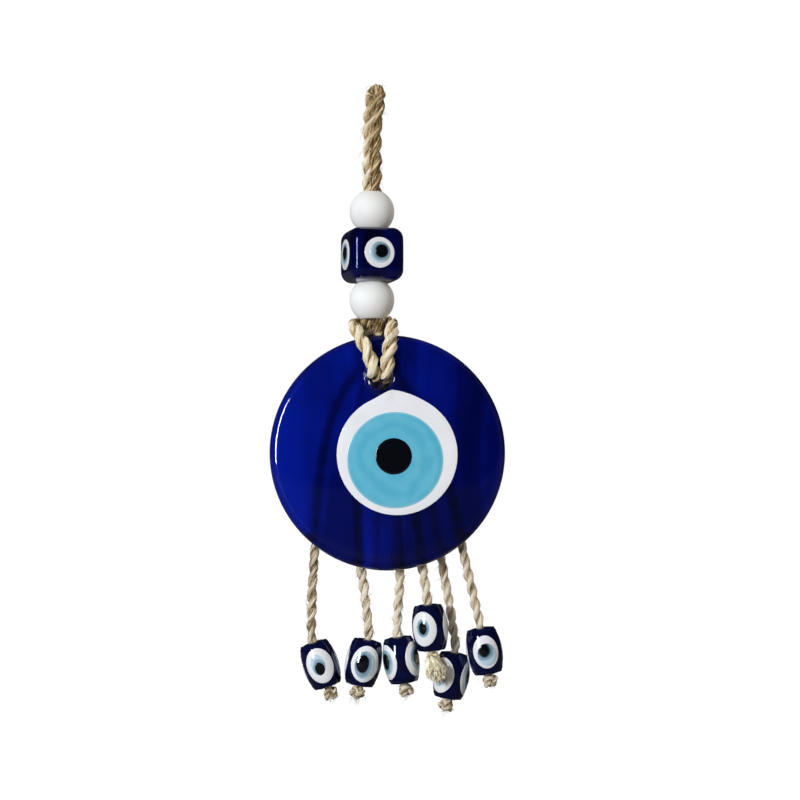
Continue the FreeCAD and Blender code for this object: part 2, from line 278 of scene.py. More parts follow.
class Nodes:
    """A node tree, and one way to add nodes to it."""

    def __init__(self, tree):
        self.tree = tree

    def node(self, kind, settings=None, inputs=None, output=0):
        """One node of that kind: its settings first, then its sockets' values or links."""
        node = self.tree.nodes.new(kind)
        for key, value in (settings or {}).items():
            if key == "stops":
                for n, (place, colour) in enumerate(value):
                    stop = node.color_ramp.elements[n] if n < 2 else node.color_ramp.elements.new(place)
                    stop.position = place
                    stop.color = colour
            else:
                setattr(node, key, value)
        for key, value in (inputs or {}).items():
            if isinstance(value, Number):
                self.tree.links.new(value.socket, node.inputs[key])
            else:
                node.inputs[key].default_value = value
        return Number(self, node.outputs[output])


class Finish(Nodes):
    """A material on the Principled shader, mixed from nodes."""

    def __init__(self, name, **constants):
        self.material = bpy.data.materials.new(name)
        self.material.use_nodes = True
        super().__init__(self.material.node_tree)
        self.shader = self.tree.nodes["Principled BSDF"]
        for socket, value in constants.items():
            self.shader.inputs[socket.replace("_", " ")].default_value = value

    def feed(self, **links):
        """Links results to the shader's own sockets."""
        for socket, value in links.items():
            self.tree.links.new(value.socket, self.shader.inputs[socket.replace("_", " ")])

    def place(self, scale):
        """Object coordinates in metres, stretched by scale along each axis."""
        where = self.node("ShaderNodeTexCoord", output=3)
        return self.node("ShaderNodeMapping", {}, {"Vector": where, "Scale": scale})

    def noise(self, vector, scale, detail=4.0, roughness=0.55, distortion=0.0):
        return self.node("ShaderNodeTexNoise", {}, {"Vector": vector, "Scale": scale, "Detail": detail,
                                                   "Roughness": roughness, "Distortion": distortion})

    def ramp(self, factor, *stops):
        return self.node("ShaderNodeValToRGB", {"stops": stops}, {"Fac": factor})

    def blend(self, factor, first, second, mode="MIX"):
        return self.node("ShaderNodeMix", {"data_type": "RGBA", "blend_type": mode},
                         {0: factor, 6: first, 7: second}, output=2)

    def bump(self, height, strength, distance):
        self.feed(Normal=self.node("ShaderNodeBump", {}, {"Height": height, "Strength": strength,
                                                         "Distance": distance}))


def jute(name, pale, tan, brown, relief=0.6 * MM):
    """Natural jute: dry, hairy and streaked along its fibres, with painted shade that makes it darker down
    between the plies.
    """
    finish = Finish(name, Roughness=0.88, Specular_IOR_Level=0.12, Sheen_Weight=0.07, Sheen_Roughness=0.5)
    tone = finish.node("ShaderNodeAttribute", {"attribute_name": "tone"}, output=2)
    yarn = finish.node("ShaderNodeUVMap", {"uv_map": "yarn"})
    drawn = finish.node("ShaderNodeMapping", {}, {"Vector": yarn, "Scale": (260, 17, 1)})
    streak = finish.noise(drawn, 1.0, 6.0, 0.7)
    patch = finish.noise(finish.place((230, 230, 120)), 1.0, 2.0)
    # The tone brings painted shade, down between the plies and on the rope's shaded parts, along with the
    # fibre's own uneven colour; a low tone turns it brown
    depth = tone * 0.66 + streak * 3.0 + patch * 0.6 - 1.63
    finish.feed(Base_Color=finish.ramp(depth, (0.05, brown), (0.74, pale), (0.36, tan)))
    if relief:
        finish.bump(streak, 1.0, relief)
    return finish.material


rope_jute = jute("rope_jute", (0.98, 0.88, 0.66, 1), (0.57, 0.40, 0.19, 1), (0.10, 0.048, 0.013, 1))
rope_line, rope_along = cord_line(ROPE_ROUTE)
# At the top of the loop one ply lies over the other, and the two are pressed together
top = int(np.argmax(rope_line[:, 2]))
_, top_side, top_other = cord_frames(rope_line)
level = 1.25 + math.atan2(-top_side[top, 2], top_other[top, 2]) - 2 * math.pi * rope_along[top] / ROPE_LAY
pressed = 0.325 + 0.12 * np.exp(-((rope_line[:, 2] - rope_line[top, 2]) / (3.0 * MM)) ** 2)
# The two strands in front of the disc carry its weight untwisted a little, and so are fuller
fuller = 1 + 0.15 * np.exp(-((rope_line[:, 1] + 6.0 * MM) / (3.0 * MM)) ** 2) * (rope_line[:, 2] < -0.078)
fuller += 0.38 * np.exp(-((rope_line[:, 2] + 82.6 * MM) / (3.0 * MM)) ** 2) * (rope_line[:, 1] > 2.0 * MM)
# Painted shade and light: its right leg, the top of the loop and what lies behind the hitch are coloured
# more brown for the shade they lie in, and its left leg paler where the light falls on it
painted_shading = np.interp(rope_along / rope_along[-1],
                    [0, 0.14, 0.21, 0.235, 0.32, 0.36, 0.40, 0.93, 0.96, 1],
                    [0.70, 0.66, 0.62, 0.20, -0.24, 0.1, -0.14, -0.02, 0.3, 0.4])
# Painted shade: the rope behind the disc, below its rim, is made much more brown
painted_shading = painted_shading + 0.85 * ((rope_line[:, 1] > -1.5 * MM) & (rope_line[:, 2] < -0.075))
rope_plies = laid_rope(rope_line, rope_along, ROPE_DIAMETER, ROPE_LAY, 1000, 7, swell=fuller, phase=level,
                       stain_and_shading=painted_shading, ply_share=pressed)
rope = mesh_piece("jute_rope", rope_plies, rope_jute)
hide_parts("hanging_cord", "hitch_cord")
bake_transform(rope)

# ---------------------------------------------------------------- White beads
# Two plain round beads, turned, bored and painted matt white, threaded over both legs of the rope above
# and below the cube bead. The lower one rests on the hitch.
BALL_RADIUS = 8.0 * MM
STACK_BORE = 4.25 * MM
STACK_X = -1.3 * MM


def start_piece(name, add, **shape):
    """Adds a primitive on its own, named, with its turn and scale in its mesh."""
    bpy.ops.object.select_all(action="DESELECT")
    size = shape.pop("scale", (1, 1, 1))
    add(**shape)
    piece = bpy.context.active_object
    piece.scale = size
    piece.name = name
    piece.data.name = name
    bpy.ops.object.transform_apply(location=True, rotation=True, scale=True)
    return piece


def pick(piece, test):
    """In edit mode, selects just the points that pass a test on their place."""
    shape = bmesh.from_edit_mesh(piece.data)
    for vertex in shape.verts:
        vertex.select = False
    shape.select_flush(False)
    for vertex in shape.verts:
        vertex.select = bool(test(vertex.co))
    shape.select_flush(True)
    bmesh.update_edit_mesh(piece.data)


def finish_shape(piece, angle=35):
    """Merges doubles, turns faces outwards and smooths all but sharp edges."""
    bpy.ops.object.select_all(action="DESELECT")
    piece.select_set(True)
    bpy.context.view_layer.objects.active = piece
    bpy.ops.object.mode_set(mode="EDIT")
    bpy.ops.mesh.select_all(action="SELECT")
    bpy.ops.mesh.remove_doubles(threshold=1e-7)
    bpy.ops.mesh.normals_make_consistent(inside=False)
    bpy.ops.object.mode_set(mode="OBJECT")
    bpy.ops.object.shade_smooth_by_angle(angle=math.radians(angle))


def apply_modifier(piece, kind, **settings):
    """Adds one modifier with these settings and applies it."""
    bpy.ops.object.select_all(action="DESELECT")
    piece.select_set(True)
    bpy.context.view_layer.objects.active = piece
    modifier = piece.modifiers.new(kind.lower(), kind)
    for key, value in settings.items():
        setattr(modifier, key, value)
    bpy.ops.object.modifier_apply(modifier=modifier.name)


def bored_round(name, belly, pole, half, bore, lip, segments):
    """A round or barrel bead about Z: an ellipsoid cut flat at half its height and bored through."""
    piece = start_piece(name, bpy.ops.mesh.primitive_uv_sphere_add, segments=segments,
                        ring_count=segments * 2 // 3, radius=1, scale=(belly, belly, pole))
    bpy.ops.object.mode_set(mode="EDIT")
    for side in (1, -1):
        bpy.ops.mesh.select_all(action="SELECT")
        bpy.ops.mesh.bisect(plane_co=(0, 0, side * half), plane_no=(0, 0, side), clear_outer=True)
    mouth = belly * math.sqrt(1 - (half / pole) ** 2)
    near = 1e-6
    beyond = 1.0
    if mouth > bore * 1.02:
        for side in (1, -1):
            pick(piece, lambda co: abs(co.z - side * half) < near)
            bpy.ops.mesh.extrude_region()
            bpy.ops.transform.resize(value=(bore / mouth, bore / mouth, 1),
                                     center_override=(0, 0, side * half))
    inner = min(bore, mouth) * 1.01
    pick(piece, lambda co: abs(abs(co.z) - half) < near and co.xy.length < inner)
    bpy.ops.mesh.bridge_edge_loops()
    for least, most, offset in ((inner, beyond, lip), (0, inner, min(lip, 0.6 * MM))):
        pick(piece, lambda co: abs(abs(co.z) - half) < near and least < co.xy.length < most)
        bpy.ops.mesh.select_mode(type="EDGE")
        shape = bmesh.from_edit_mesh(piece.data)
        for edge in shape.edges:
            a, b = (v.co for v in edge.verts)
            edge.select = edge.select and abs(a.xy.length - b.xy.length) < near
        if any(edge.select for edge in shape.edges):
            bmesh.update_edit_mesh(piece.data)
            bpy.ops.mesh.bevel(offset=offset, segments=5, affect="EDGES")
        bpy.ops.mesh.select_mode(type="VERT")
    bpy.ops.object.mode_set(mode="OBJECT")
    finish_shape(piece)
    return piece


def copy_piece(piece, name, move):
    """A copy with its own mesh, put in its place by a matrix."""
    twin = piece.copy()
    twin.data = piece.data.copy()
    twin.name = name
    twin.data.name = name
    bpy.context.scene.collection.objects.link(twin)
    twin.data.transform(move)
    return twin


def white_paint():
    """Matt white paint on a turned bead, with faint brush mottling and a fine tooth."""
    finish = Finish("white_bead_paint")
    mottle = finish.noise(finish.place((1, 1, 1)), 420.0, 5.0)
    smudge = finish.noise(finish.place((1, 1, 1)), 110.0, 2.0)
    paint = finish.ramp(smudge, (0.25, (0.78, 0.775, 0.755, 1)), (0.7, (0.86, 0.86, 0.86, 1)))
    finish.feed(Base_Color=paint, Roughness=mottle * 0.25 + 0.5)
    finish.bump(mottle, 0.18, 0.12 * MM)
    return finish.material


ball_half = math.sqrt(BALL_RADIUS ** 2 - STACK_BORE ** 2)
ball = bored_round("white_ball", BALL_RADIUS, BALL_RADIUS, ball_half, STACK_BORE, 0.35 * MM, 96)
ball.data.materials.append(white_paint())
for name in ("upper_bead", "lower_bead"):
    low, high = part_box(name)
    bead = copy_piece(ball, f"white_{name}", Matrix.Translation((STACK_X, 0, (low.z + high.z) / 2)))
    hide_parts(name)
    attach(bead, f"{name}_body")
bpy.data.objects.remove(ball)

# ---------------------------------------------------------------- Cube bead
# A pressed and fire-polished cube of cobalt glass with soft corners and swollen sides, bored for the rope.
# Drops of white, grey-blue and black glass are melted into each of its four sides to make the eyes.
CUBE_SIZE = 19.5 * MM
CUBE_HEIGHT = 18.9 * MM
CUBE_ROUNDING = 3.9 * MM
CUBE_TURN = math.radians(16.6)
CUBE_PUPIL_SHIFT = (0.75, 0.5)
# For each layer: its size, its shift and how far it stands proud
CUBE_EYES = [("whites", 10.9, (0, 0), 0.14), ("irises", 7.6, (0.15, 0.1), 0.26),
             ("pupils", 4.5, CUBE_PUPIL_SHIFT, 0.42)]


def glass(name, colour, roughness, speck=0.03, grain=330.0, gleam=(1, 1, 1, 1)):
    """Opaque melted glass with a glossy fire-polished skin."""
    finish = Finish(name, Roughness=roughness, IOR=1.5, Coat_Weight=0.6, Coat_Roughness=0.03,
                    Specular_Tint=gleam)
    cloud = finish.noise(finish.place((1, 1, 1)), grain, 3.0)
    dark = tuple(c * (1 - speck * 6) for c in colour[:3]) + (1,)
    finish.feed(Base_Color=finish.ramp(cloud, (0.3, dark), (0.65, colour)))
    finish.bump(cloud, 0.08, 0.1 * MM)
    return finish.material


def cobalt(name, deep, bright, stretch, haze, clear, shift=0.0, painted_light_left=0.0, painted_light_up=0.0):
    """Cobalt glass, hazy inside and glossy on its skin, drawn into darker and brighter streaks, and given
    painted light that makes it paler towards the left and the top.
    """
    finish = Finish(name, Roughness=haze, IOR=1.5, Transmission_Weight=clear, Coat_Weight=1.0,
                    Coat_Roughness=0.02, Specular_Tint=(0.01, 0.04, 0.5, 1))
    where = finish.node("ShaderNodeTexCoord", output=3)
    drawn = finish.node("ShaderNodeMapping", {}, {"Vector": where, "Scale": stretch,
                                                  "Location": (shift, 0.0, 0.0)})
    streak = finish.noise(drawn, 1.0, 3.0, 0.5, 0.9)
    cloud = finish.noise(finish.place((1, 1, 1)), 45.0, 2.0)
    leftward = finish.node("ShaderNodeSeparateXYZ", {}, {0: where})
    upward = leftward.sibling("Z") + 0.127
    # Painted light: the glass is coloured paler towards the left and the top, where the light falls
    depth = streak * 0.85 + cloud * 0.35 - leftward * painted_light_left + upward * painted_light_up - 0.085
    finish.feed(Base_Color=finish.ramp(depth, (0.40, deep), (0.66, bright)))
    ripple = finish.noise(finish.place((1, 1, 0.35)), 60.0, 2.0)
    finish.bump(ripple, 0.10, 0.6 * MM)
    return finish.material


def shrink_rings(count, middle):
    """In edit mode, divides a filled outline into rings that shrink evenly towards its middle."""
    for n in range(count):
        bpy.ops.mesh.inset(thickness=0)
        factor = (count - n) / (count + 1 - n)
        bpy.ops.transform.resize(value=(factor, factor, factor), center_override=middle)


def iris_blend(name, inner, middle, outer):
    """Grey-blue glass that the pupil and the white have both bled into, in uneven rings."""
    finish = Finish(name, Roughness=0.08, IOR=1.5, Coat_Weight=0.6, Coat_Roughness=0.03)
    reach = finish.node("ShaderNodeAttribute", {"attribute_name": "from_pupil"}, output=2)
    cloud = finish.noise(finish.place((1, 1, 1)), 300.0, 3.0)
    banded = finish.node("ShaderNodeMath", {"operation": "SINE"}, {0: reach * 17.0 + cloud * 4.0})
    spread = reach + (cloud - 0.5) * 0.35 + banded * 0.05
    finish.feed(Base_Color=finish.ramp(spread, (0.52, inner), (1.02, outer), (0.74, middle)))
    finish.bump(cloud, 0.08, 0.1 * MM)
    return finish.material


EYE_SINK = 0.5 * MM


def eye_layer(name, body, width, height, across, up, proud, pupil):
    """A flat drop of glass melted onto the -Y side of a body: it takes the body's curve.

    Its points keep how far they lie from the pupil's middle, from 0 there to 1 at the drop's edge."""
    layer = start_piece(name, bpy.ops.mesh.primitive_circle_add, vertices=72, radius=1,
                        fill_type="NGON",
                        location=(across, -30 * MM, up), rotation=(math.pi / 2, 0, 0),
                        scale=(width / 2, height / 2, 1))
    bpy.ops.object.mode_set(mode="EDIT")
    shrink_rings(5, (across, -30 * MM, up))
    bpy.ops.object.mode_set(mode="OBJECT")
    apply_modifier(layer, "SHRINKWRAP", target=body, wrap_method="PROJECT", use_project_y=True,
                   use_positive_direction=True, use_negative_direction=False)
    reach = np.array([(v.co.x - pupil[0], v.co.z - pupil[1]) for v in layer.data.vertices])
    reach = np.hypot(reach[:, 0] / width, reach[:, 1] / height) * 2
    from_pupil = layer.data.attributes.new("from_pupil", "FLOAT", "POINT")
    from_pupil.data.foreach_set("value", reach.astype(np.float32))
    thickness = proud + EYE_SINK
    apply_modifier(layer, "SOLIDIFY", thickness=thickness, offset=2 * proud / thickness - 1,
                   use_even_offset=True)
    apply_modifier(layer, "BEVEL", width=min(proud * 0.9, 0.16 * MM), segments=3, limit_method="ANGLE")
    return layer


def joined(name, pieces, finish):
    """Joins pieces into one, named and with one material."""
    bpy.ops.object.select_all(action="DESELECT")
    for piece in pieces:
        piece.select_set(True)
    bpy.context.view_layer.objects.active = pieces[0]
    bpy.ops.object.join()
    whole = pieces[0]
    whole.name = name
    whole.data.name = name
    whole.data.materials.clear()
    whole.data.materials.append(finish)
    bpy.ops.object.shade_smooth_by_angle(angle=math.radians(35))
    return whole


def cut_with(piece, operation, tool):
    """Joins or cuts a closed tool shape into a piece, and removes the tool."""
    apply_modifier(piece, "BOOLEAN", operation=operation, object=tool, solver="EXACT")
    bpy.data.objects.remove(tool)


white_glass = glass("white_glass", (0.86, 0.87, 0.91, 1), 0.10, 0.009, 120.0)
black_glass = glass("black_glass", (0.0025, 0.003, 0.006, 1), 0.04)
iris_glass = iris_blend("grey_blue_glass", (0.015, 0.045, 0.055, 1), (0.17, 0.29, 0.37, 1),
                        (0.52, 0.68, 0.80, 1))
cube_glass = cobalt("cube_cobalt_glass", (0.0003, 0.0006, 0.022, 1), (0.0012, 0.004, 0.12, 1),
                    (60, 60, 22), haze=0.15, clear=0.6, shift=0.4)

cube = start_piece("cube", bpy.ops.mesh.primitive_cube_add, size=1,
                   scale=(CUBE_SIZE, CUBE_SIZE, CUBE_HEIGHT))
apply_modifier(cube, "BEVEL", width=CUBE_ROUNDING, segments=8, limit_method="ANGLE")
apply_modifier(cube, "SUBSURF", levels=3, render_levels=3, subdivision_type="SIMPLE")
apply_modifier(cube, "CAST", factor=0.05, cast_type="SPHERE")
cut_with(cube, "DIFFERENCE", start_piece("cube_bore", bpy.ops.mesh.primitive_cylinder_add, vertices=96,
                                         radius=STACK_BORE, depth=3 * CUBE_HEIGHT))
finish_shape(cube, 40)
cube.data.materials.append(cube_glass)

low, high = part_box("cube_bead")
cube_place = Matrix.Translation((STACK_X, 0, (low.z + high.z) / 2)) @ Matrix.Rotation(CUBE_TURN, 4, "Z")
for part, size, (across, up), proud in CUBE_EYES:
    side = eye_layer(part, cube, size * MM, size * MM, across * MM, up * MM, proud * MM,
                     (CUBE_PUPIL_SHIFT[0] * MM, CUBE_PUPIL_SHIFT[1] * MM))
    sides = [copy_piece(side, f"{part}_{n}", Matrix.Rotation(n * math.pi / 2, 4, "Z")) for n in range(4)]
    bpy.data.objects.remove(side)
    finish = {"whites": white_glass, "irises": iris_glass, "pupils": black_glass}[part]
    layer = joined(f"cube_eye_{part}", sides, finish)
    layer.data.transform(cube_place)
    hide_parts(f"cube_bead_{part}")
    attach(layer, "cube_bead_body")
cube_bead = copy_piece(cube, "glass_cube", cube_place)
bpy.data.objects.remove(cube)
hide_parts("cube_bead")
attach(cube_bead, "cube_bead_body")

# ---------------------------------------------------------------- Glass disc
# A thick disc poured of streaky cobalt glass, its rim rounded in the fire, pierced near the top while soft,
# which leaves a raised lip. Its eye is three pools of glass melted into the front.
low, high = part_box("glass_disc")
DISC_RADIUS = (high.x - low.x) / 2
DISC_CENTRE = Vector(((low.x + high.x) / 2, 0, (low.z + high.z) / 2))
DISC_THICKNESS = 7.0 * MM
RIM_ROUNDING = 3.2 * MM
HOLE = Vector((1.7, 0, -100.3)) * MM
HOLE_RADIUS = 4.5 * MM
LIP_RADIUS = 0.85 * MM
WHITE_SIZE = 42.6 * MM
IRIS_SIZE = 34.0 * MM
PUPIL_SIZE = 13.0 * MM
FACE_ON = (math.pi / 2, 0, 0)


def poured_disc():
    """The disc: rounded rim, faintly domed front, pierced hole and its lip."""
    piece = start_piece("disc", bpy.ops.mesh.primitive_cylinder_add, vertices=180, radius=DISC_RADIUS,
                        depth=DISC_THICKNESS, location=DISC_CENTRE, rotation=FACE_ON)
    apply_modifier(piece, "BEVEL", width=RIM_ROUNDING, segments=9, limit_method="ANGLE",
                   angle_limit=math.radians(60))
    for face, swell in ((-1, 0.10), (1, 0.03)):
        bpy.ops.object.mode_set(mode="EDIT")
        pick(piece, lambda co: abs(co.y - face * DISC_THICKNESS / 2) < 1e-6)
        for _ in range(8):
            bpy.ops.mesh.inset(thickness=4.0 * MM)
            bpy.ops.transform.translate(value=(0, face * swell * MM, 0))
            swell *= 0.72
        bpy.ops.object.mode_set(mode="OBJECT")
    lip_at = HOLE + Vector((0, -DISC_THICKNESS / 2 - 0.1 * MM, 0))
    lip = start_piece("lip", bpy.ops.mesh.primitive_torus_add, major_radius=HOLE_RADIUS + LIP_RADIUS * 0.9,
                      minor_radius=LIP_RADIUS, major_segments=96, minor_segments=20, location=lip_at,
                      rotation=FACE_ON)
    cut_with(piece, "UNION", lip)
    bore = start_piece("bore", bpy.ops.mesh.primitive_cylinder_add, vertices=96, radius=HOLE_RADIUS,
                       depth=6 * DISC_THICKNESS, location=HOLE, rotation=FACE_ON)
    cut_with(piece, "DIFFERENCE", bore)
    finish_shape(piece, 32)
    return piece


def pool(name, body, size, middle, proud, finish, tip=None):
    """One pool of the disc's eye, melted onto its front; the white one is drawn up to a blunt tip."""
    layer = start_piece(name, bpy.ops.mesh.primitive_circle_add, vertices=144, radius=size / 2,
                        fill_type="NGON", location=(middle[0] * MM, -30 * MM, middle[1] * MM),
                        rotation=FACE_ON)
    bpy.ops.object.mode_set(mode="EDIT")
    if tip:
        top = Vector((tip[0] * MM, 0, tip[1] * MM))
        shape = bmesh.from_edit_mesh(layer.data)
        for vertex in shape.verts:
            flank = 6.5 * MM if vertex.co.x < top.x else 12.0 * MM
            near = max(0, 1 - abs(vertex.co.x - top.x) / flank) if vertex.co.z > middle[1] * MM else 0
            vertex.co.z += 1.75 * MM * near ** 1.3
        bmesh.update_edit_mesh(layer.data)
        bpy.ops.mesh.select_all(action="SELECT")
    shrink_rings(7, (middle[0] * MM, -30 * MM, middle[1] * MM))
    bpy.ops.object.mode_set(mode="OBJECT")
    apply_modifier(layer, "SHRINKWRAP", target=body, wrap_method="PROJECT", use_project_y=True,
                   use_positive_direction=True, use_negative_direction=False)
    thickness = proud + 0.7 * MM
    apply_modifier(layer, "SOLIDIFY", thickness=thickness, offset=2 * proud / thickness - 1)
    apply_modifier(layer, "BEVEL", width=proud * 0.8, segments=3, limit_method="ANGLE")
    layer.data.materials.append(finish)
    bpy.ops.object.shade_smooth_by_angle(angle=math.radians(35))
    return layer


def sky_glass(middle):
    """Light blue glass, swirled when it was dropped in, and paler where it meets the white."""
    finish = Finish("sky_blue_glass", Roughness=0.08, IOR=1.5, Coat_Weight=0.6, Coat_Roughness=0.03)
    where = finish.node("ShaderNodeTexCoord", output=3)
    centred = finish.node("ShaderNodeMapping", {}, {"Vector": where,
                                                    "Location": (-middle[0] * MM, 0, -middle[1] * MM)})
    stirred = finish.noise(centred, 55.0, 2.0, 0.5, 2.5)
    rings = finish.node("ShaderNodeTexWave", {"wave_type": "RINGS", "rings_direction": "Y"},
                        {"Vector": centred, "Scale": 55.0, "Distortion": 7.0, "Detail": 2.0,
                         "Detail Scale": 1.2}, output=1)
    swirl = rings * 0.35 + stirred * 0.65
    base = finish.ramp(swirl, (0.30, (0.095, 0.44, 0.62, 1)), (0.75, (0.14, 0.50, 0.67, 1)))
    spread = finish.node("ShaderNodeVectorMath", {"operation": "LENGTH"},
                         {0: finish.node("ShaderNodeVectorMath", {"operation": "MULTIPLY"},
                                         {0: centred, 1: (1, 0, 1)})}, output=1)
    edge = finish.node("ShaderNodeMapRange", {}, {"Value": spread, "From Min": IRIS_SIZE * 0.475,
                                                  "From Max": IRIS_SIZE * 0.5, "To Min": 0.0,
                                                  "To Max": 0.6})
    finish.feed(Base_Color=finish.blend(edge, base, (0.42, 0.68, 0.76, 1)))
    finish.bump(stirred, 0.05, 0.3 * MM)
    return finish.material


# The disc's glass carries painted light: paler towards its left and its top
disc_glass = cobalt("disc_cobalt_glass", (0.0002, 0.0009, 0.055, 1), (0.0006, 0.0085, 0.29, 1),
                    (75, 40, 9), haze=0.40, clear=0.8, painted_light_left=4.0, painted_light_up=1.1)
disc = poured_disc()
disc.data.materials.append(disc_glass)
middles = {"white": (7.7, -127.5), "iris": (7.0, -129.4), "pupil": (6.5, -128.1)}
pools = [pool("disc_eye_white", disc, WHITE_SIZE, middles["white"], 0.15 * MM, white_glass, (5.6, -104.6)),
         pool("disc_eye_iris", disc, IRIS_SIZE, middles["iris"], 0.24 * MM, sky_glass(middles["iris"])),
         pool("disc_eye_pupil", disc, PUPIL_SIZE, middles["pupil"], 0.36 * MM, black_glass)]
for piece, node, slot in zip(pools, ("disc_white", "disc_iris", "disc_pupil"),
                             ("white_glass", "sky_blue_glass", "black_glass")):
    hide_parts(node)
    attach(piece, "disc_body")
disc.name = "cobalt_disc"
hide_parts("glass_disc")
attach(disc, "disc_body")

# ---------------------------------------------------------------- Twines
# Six lengths of thinner jute twine. Their heads are bound to the rope's legs behind the disc, they lie down
# its back, hang free below the rim and go through a barrel bead into an overhand knot.
TWINE_DIAMETER = 3.4 * MM
TWINE_LAY = 10.5 * MM
BARREL_HEIGHT = 16.7
KNOT_BELOW = 2.2
TWINE_STAINS = [0.40, -0.02, -0.24, -0.05, 0.05, 0.02]
TASSELS = [
    dict(hinge=(-21.7, 5.2, -158.6), bead=(-19.5, -201.8), lean=19.0, facing=0.0, length=0.129,
         route=[(-3.4, 10.6, -87.6), (-4.0, 10.4, -95.0), (-12.0, 6.4, -104.5), (-17.4, 5.2, -119.0),
                (-20.5, 5.2, -138.0)]),
    dict(hinge=(-5.5, 5.2, -166.4), bead=(-4.3, -201.1), lean=-11.0, facing=8.0, length=0.126,
         route=[(-1.6, 12.4, -86.8), (-2.6, 12.3, -95.0), (-4.8, 9.6, -103.0), (-6.7, 5.7, -116.0),
                (-6.8, 5.2, -140.0)]),
    dict(hinge=(9.1, 5.2, -167.3), bead=(9.1, -200.2), lean=8.5, facing=60.0, length=0.124,
         route=[(0.8, 12.9, -88.0), (0.2, 12.8, -95.0), (0.9, 10.7, -103.0), (4.4, 6.4, -117.0),
                (7.6, 5.2, -140.0)]),
    dict(hinge=(16.3, 5.2, -165.9), bead=(19.3, -188.8), lean=5.0, facing=-25.0, length=0.115,
         route=[(2.4, 12.6, -86.5), (2.9, 12.8, -95.0), (4.7, 10.7, -103.0), (8.8, 6.4, -116.0),
                (13.3, 5.2, -138.0)]),
    dict(hinge=(23.3, 10.6, -163.1), bead=(27.0, -206.2), lean=-9.0, facing=80.0, length=0.132,
         route=[(3.6, 12.0, -88.2), (5.1, 13.1, -95.0), (8.9, 14.5, -106.0), (14.0, 12.4, -123.0),
                (19.4, 11.2, -143.0)]),
    dict(hinge=(30.4, 5.2, -158.5), bead=(38.7, -197.0), lean=10.0, facing=3.0, length=0.127,
         route=[(4.4, 10.4, -87.2), (5.2, 10.2, -95.0), (11.6, 7.0, -103.5), (18.8, 5.2, -117.0),
                (25.8, 5.2, -136.0)]),
]

twine_jute = jute("twine_jute", (0.97, 0.88, 0.71, 1), (0.68, 0.55, 0.37, 1), (0.15, 0.085, 0.035, 1))


def lean_axis(lean):
    """The way up along a leaning bead, whose foot swings to the right."""
    return Vector((-math.sin(math.radians(lean)), 0, math.cos(math.radians(lean))))


def frayed(at, way, count, spread, length, seed):
    """A brush of loose fibres where a twine was cut."""
    chance = random.Random(seed)
    parts = []
    for _ in range(count):
        aside = np.array([chance.gauss(0, 1) for _ in range(3)])
        heading = np.array(way) + spread * aside
        heading /= np.linalg.norm(heading)
        start = np.array(at) + 0.35 * TWINE_DIAMETER * aside / max(1, np.linalg.norm(aside))
        parts.append(stray_fibre(chance, start, heading, np.array(way) * 0.2,
                                 chance.uniform(0.5, 1.0) * length, chance.uniform(0.05, 0.10) * MM))
    return parts


for number, tassel in enumerate(TASSELS, 1):
    axis = lean_axis(tassel["lean"])
    centre = Vector((tassel["bead"][0], tassel["hinge"][1], tassel["bead"][1]))
    tassel["axis"] = axis
    tassel["centre"] = centre
    mouth = centre + axis * (BARREL_HEIGHT / 2 + 3.2)
    above = centre + axis * (BARREL_HEIGHT / 2 - 1.5)
    foot = centre - axis * (BARREL_HEIGHT / 2 + KNOT_BELOW)
    route = tassel["route"] + [tassel["hinge"], tuple(mouth), tuple(above), tuple(foot)]
    line, along = cord_line(route, 0.40 * MM)
    parts = laid_rope(line, along, TWINE_DIAMETER, TWINE_LAY, 300, 20 + number, 20,
                      stain_and_shading=TWINE_STAINS[number - 1], ply_share=0.335)
    parts += frayed(line[0], (0, 0.15, 1), 26, 0.35, 2.4 * MM, 40 + number)
    twine = mesh_piece(f"jute_twine_{number}", parts, twine_jute)
    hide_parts(f"twine_{number}_behind_disc", f"twine_{number}")
    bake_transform(twine)
    tassel["twine"] = twine
    tassel["line"] = line

# ---------------------------------------------------------------- Binding behind the disc
# A short length of the same twine wound round the two rope legs and the heads of the six twines, pulled
# tight against the back of the glass, with one turn slanted over the rest to lock it.
WINDING_CENTRE = (0.6, 9.9)
WINDING_REACH = (7.3, 4.7)
WINDING_TURNS = 3
WINDING_TOP = -89.4
TURN_POINTS = 12


def winding_route():
    """Points round the bundle, going down by a twine each turn, then one slanted turn back over them."""
    points = []
    for n in range(WINDING_TURNS * TURN_POINTS + 1):
        turn = 2 * math.pi * n / TURN_POINTS
        points.append((WINDING_CENTRE[0] - WINDING_REACH[0] * math.sin(turn),
                       WINDING_CENTRE[1] - WINDING_REACH[1] * math.cos(turn),
                       WINDING_TOP - 2.75 * turn / (2 * math.pi)))
    return points


